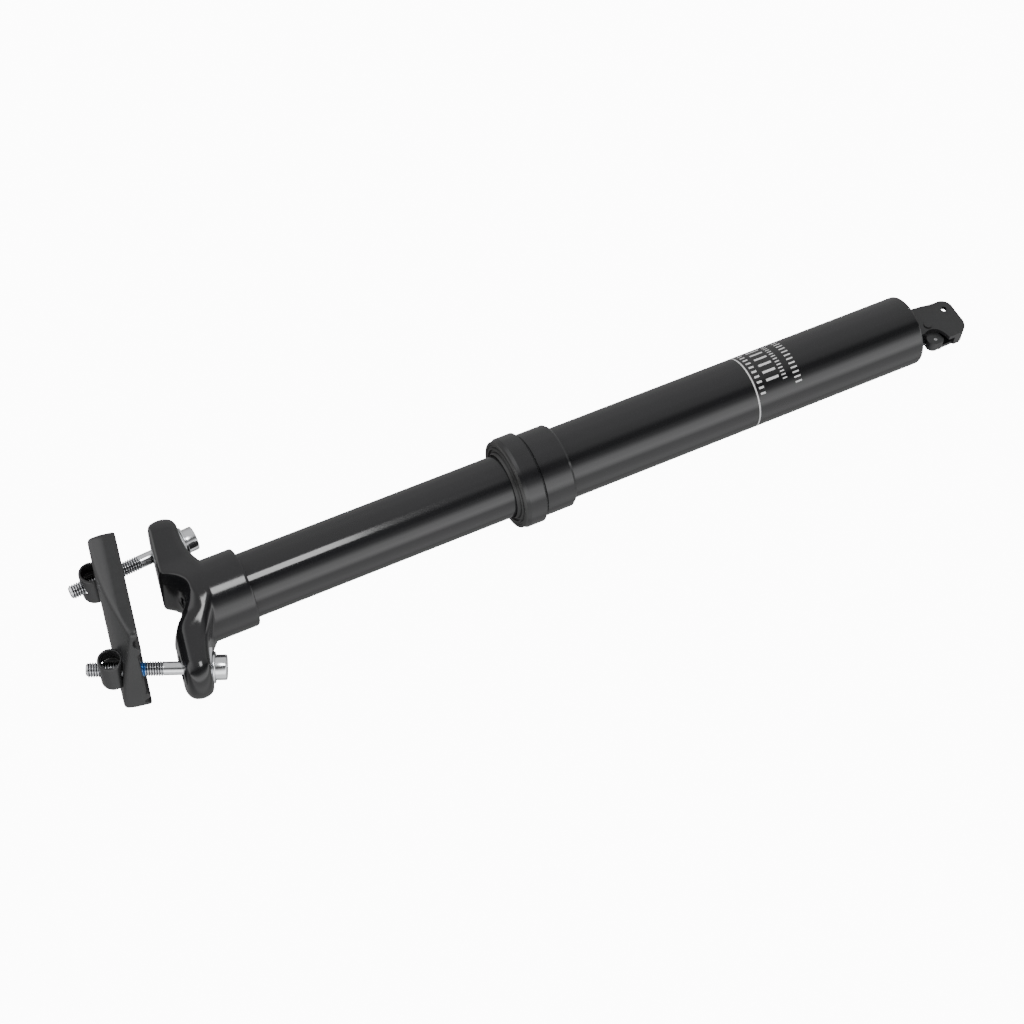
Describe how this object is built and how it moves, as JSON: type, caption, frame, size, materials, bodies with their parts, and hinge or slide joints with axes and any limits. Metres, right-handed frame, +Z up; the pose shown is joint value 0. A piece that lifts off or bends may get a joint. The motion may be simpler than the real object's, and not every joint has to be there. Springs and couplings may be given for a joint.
{
  "type": "height-adjustable bicycle seatpost",
  "caption": "Telescoping bicycle seatpost with a sealed collar, a forged saddle clamp head held by bolts through barrel nuts, and a cable release lever at its foot.",
  "frame": {"origin": "on the post's axis, 1 mm below the collar's lower face", "axes": "+Z up the post towards the saddle, +X towards the rear clamp bolt, +Y across the saddle rails"},
  "size_m": [0.0804, 0.0564, 0.4044],
  "materials": {
    "tube_black": "gloss black anodised",
    "stanchion_black": "polished black anodised",
    "head_black": "gloss black anodised forging",
    "plate_black": "satin black anodised",
    "collar_black": "gloss black anodised",
    "rubber": "matt black",
    "bolt_steel": "bright zinc plated",
    "nut_black": "black zinc plated",
    "steel": "ground",
    "alloy": "turned",
    "bushing": "self-lubricating",
    "brass": "brushed",
    "bracket_black": "satin black anodised"
  },
  "bodies": {
    "outer_post": {"lower_tube": "tube_black", "collar_base": "collar_black", "collar_nut": "collar_black", "wiper_seal": "rubber", "inner_seal": "rubber", "upper_bushing": "bushing", "bottom_cap": "alloy", "cap_seal": "rubber", "rod_lock_nut": "steel", "cartridge_rod": "steel", "piston": "alloy", "piston_ring": "rubber", "actuator_bracket": "bracket_black", "bracket_screws": "bolt_steel", "lever_pin": "bracket_black"},
    "inner_post": {"stanchion_tube": "stanchion_black", "lower_bushing": "bushing", "anti_rotation_keys": "brass", "circlip": "steel", "cartridge_cylinder": "alloy", "cartridge_gland": "alloy", "rod_seal": "rubber", "cartridge_top_cap": "alloy", "valve_cap": "bolt_steel", "head": "head_black"},
    "gas_piston": {"gas_piston": "alloy"},
    "clamp": {"clamp_plate": "plate_black"},
    "nut_rear": {"barrel_nut_rear": "nut_black"},
    "nut_front": {"barrel_nut_front": "nut_black"},
    "washer_rear": {"seat_washer_rear": "bolt_steel"},
    "washer_front": {"seat_washer_front": "bolt_steel"},
    "bolt_rear": {"clamp_bolt_rear": "bolt_steel"},
    "bolt_front": {"clamp_bolt_front": "bolt_steel"},
    "lever": {"actuator_lever": "bracket_black", "cable_barrel": "bracket_black", "barrel_grub_screw": "steel"},
    "release_pin": {"push_pin": "steel", "valve_poppet": "steel"}
  },
  "joints": [
    {"name": "post_travel", "type": "slide", "parent": "outer_post", "child": "inner_post", "axis": [0, 0, 1], "range_m": [-0.1, 0]},
    {"name": "gas_piston_travel", "type": "slide", "parent": "inner_post", "child": "gas_piston", "axis": [0, 0, 1], "range_m": [0, 0.0275]},
    {"name": "release_pin_travel", "type": "slide", "parent": "outer_post", "child": "release_pin", "axis": [0, 0, 1], "range_m": [0, 0.00134]},
    {"name": "lever_turn", "type": "hinge", "parent": "outer_post", "child": "lever", "pos_m": [0.0046, 0, -0.1778], "axis": [0, 1, 0], "range_deg": [0, 15.1]},
    {"name": "clamp_close", "type": "slide", "parent": "inner_post", "child": "clamp", "axis": [0.1736, 0, -0.9848], "range_m": [0, 0.004]},
    {"name": "nut_rear_tilt", "type": "hinge", "parent": "clamp", "child": "nut_rear", "pos_m": [0.01299, 0, 0.2011], "axis": [0, 1, 0], "range_deg": [-1.6, 0]},
    {"name": "nut_front_tilt", "type": "hinge", "parent": "clamp", "child": "nut_front", "pos_m": [-0.02699, 0, 0.19405], "axis": [0, 1, 0], "range_deg": [0, 1.6]},
    {"name": "washer_rear_tilt", "type": "hinge", "parent": "inner_post", "child": "washer_rear", "pos_m": [0.02862, 0, 0.16578], "axis": [0, 1, 0], "range_deg": [-1.6, 0]},
    {"name": "washer_front_tilt", "type": "hinge", "parent": "inner_post", "child": "washer_front", "pos_m": [-0.0296, 0, 0.15551], "axis": [0, 1, 0], "range_deg": [0, 1.6]},
    {"name": "bolt_rear_turn", "type": "hinge", "parent": "washer_rear", "child": "bolt_rear", "pos_m": [0.02862, 0, 0.16578], "axis": [-0.4047, 0, 0.9145], "range_deg": [0, 1441]},
    {"name": "bolt_front_turn", "type": "hinge", "parent": "washer_front", "child": "bolt_front", "pos_m": [-0.0296, 0, 0.15551], "axis": [0.0675, 0, 0.9977], "range_deg": [0, 1441]}
  ],
  "couplings": [
    {"joint": "gas_piston_travel", "follows": "post_travel", "ratio": -0.27},
    {"joint": "lever_turn", "follows": "release_pin_travel", "rad_per_m": 196},
    {"joint": "bolt_rear_turn", "follows": "clamp_close", "rad_per_m": 6283.2},
    {"joint": "bolt_front_turn", "follows": "clamp_close", "rad_per_m": 6283.2},
    {"joint": "nut_rear_tilt", "follows": "clamp_close", "rad_per_m": -6.8},
    {"joint": "nut_front_tilt", "follows": "clamp_close", "rad_per_m": 6.8},
    {"joint": "washer_rear_tilt", "follows": "clamp_close", "rad_per_m": -6.8},
    {"joint": "washer_front_tilt", "follows": "clamp_close", "rad_per_m": 6.8}
  ]
}
